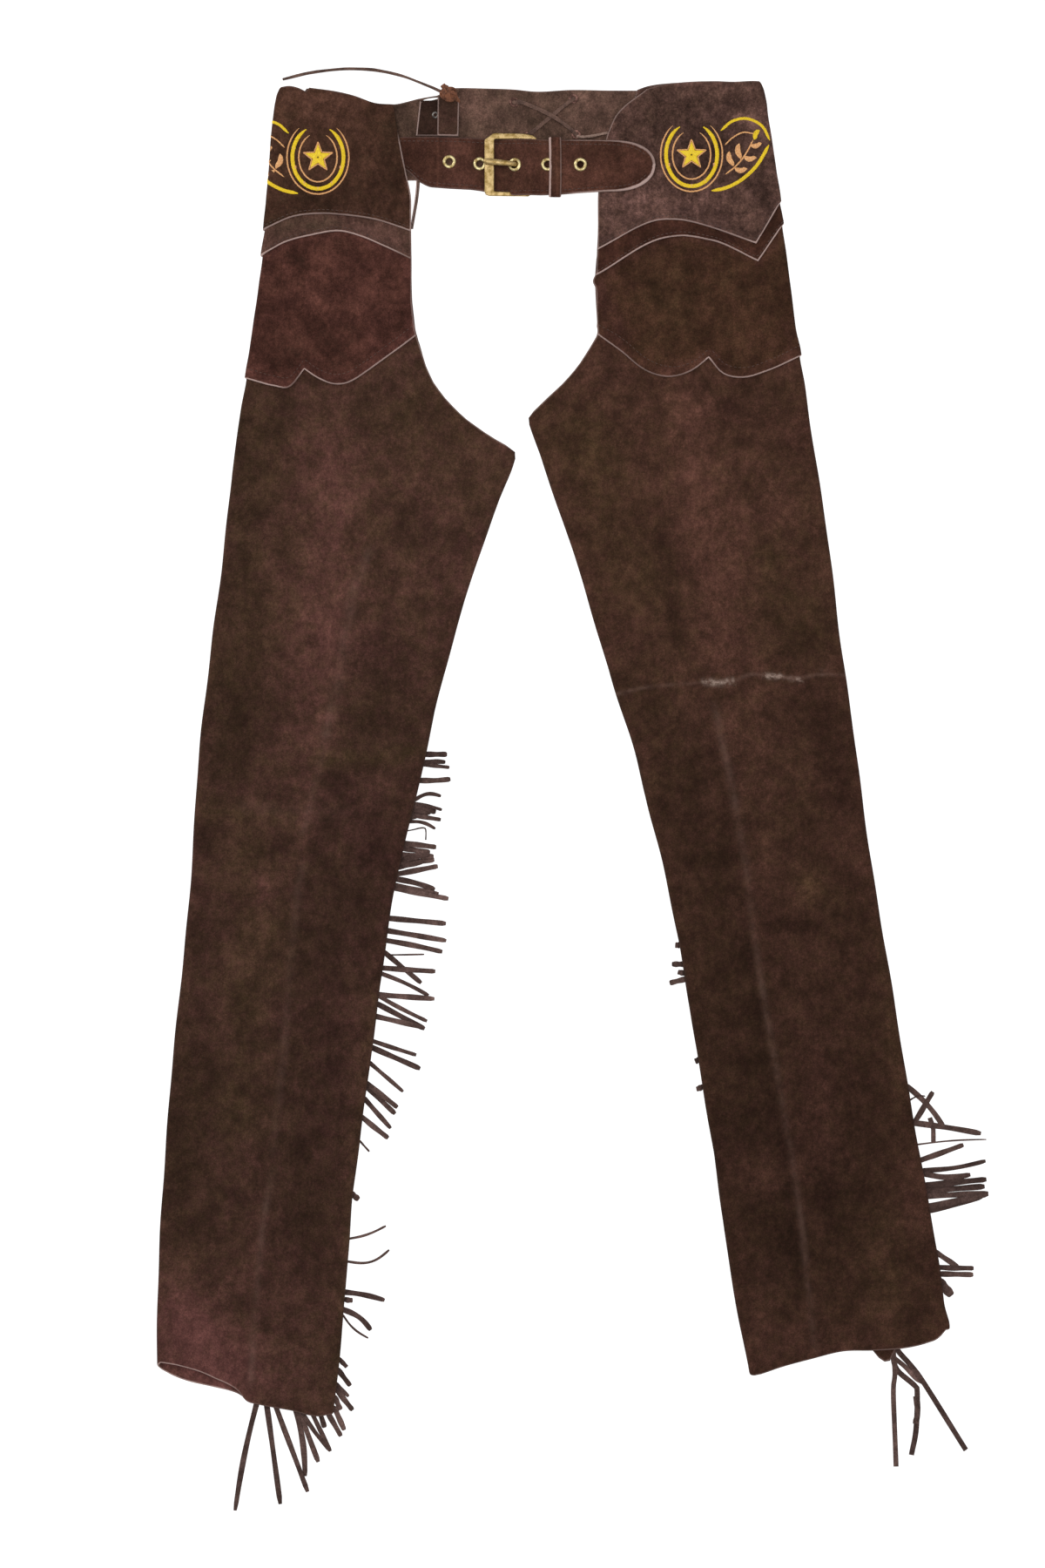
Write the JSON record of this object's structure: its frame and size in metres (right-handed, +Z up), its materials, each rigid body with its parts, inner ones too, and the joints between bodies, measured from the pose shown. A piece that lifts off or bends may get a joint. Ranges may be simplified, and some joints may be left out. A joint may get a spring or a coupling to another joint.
{
  "type": "fringed suede chaps laid flat",
  "caption": "Suede leather chaps laid flat: open-seat leg tubes with lapped hip overlays, a laced back yoke, a buckled front belt and side fringe.",
  "frame": {"origin": "on the surface the chaps lie on, under the middle of the garment's box", "axes": "+X across the chaps, towards the hip with the belt's free end, +Y from the hems to the waist, +Z up from the surface"},
  "size_m": [0.6354, 1.1072, 0.0104],
  "materials": {
    "leg_suede": "dark brown suede, soft matt nap with paler rubbed creases",
    "overlay_suede": "dark brown suede with pale raw cut edges and tan topstitching",
    "band_suede": "dark brown suede, raw cut edges",
    "fringe_suede": "thin dark brown suede strands, cut edges",
    "belt_suede": "dark brown suede strap with topstitched edges",
    "lace_leather": "flat cut brown lace, dull",
    "knot_leather": "orange brown rawhide knot, dull",
    "brass": "antique cast brass, soft worn shine"
  },
  "bodies": {
    "root": {"leg_left": "leg_suede", "leg_right": "leg_suede", "hip_yoke_left": "overlay_suede", "hip_yoke_right": "overlay_suede", "thigh_overlay_left": "overlay_suede", "thigh_overlay_right": "overlay_suede", "hip_band_left": "band_suede", "hip_band_right": "band_suede", "fringe_left": "fringe_suede", "fringe_right": "fringe_suede", "back_yoke": "leg_suede", "side_tab": "band_suede", "belt_strap": "belt_suede", "buckle_strap": "belt_suede", "belt_keeper": "belt_suede", "buckle_frame": "brass", "prong": "brass", "eyelet_1": "brass", "eyelet_2": "brass", "eyelet_3": "brass", "eyelet_4": "brass", "eyelet_5": "brass", "lace_cross_under": "lace_leather", "lace_cross_over": "lace_leather", "lace_run": "lace_leather", "lace_tail": "lace_leather", "lace_knot": "knot_leather"}
  },
  "joints": []
}
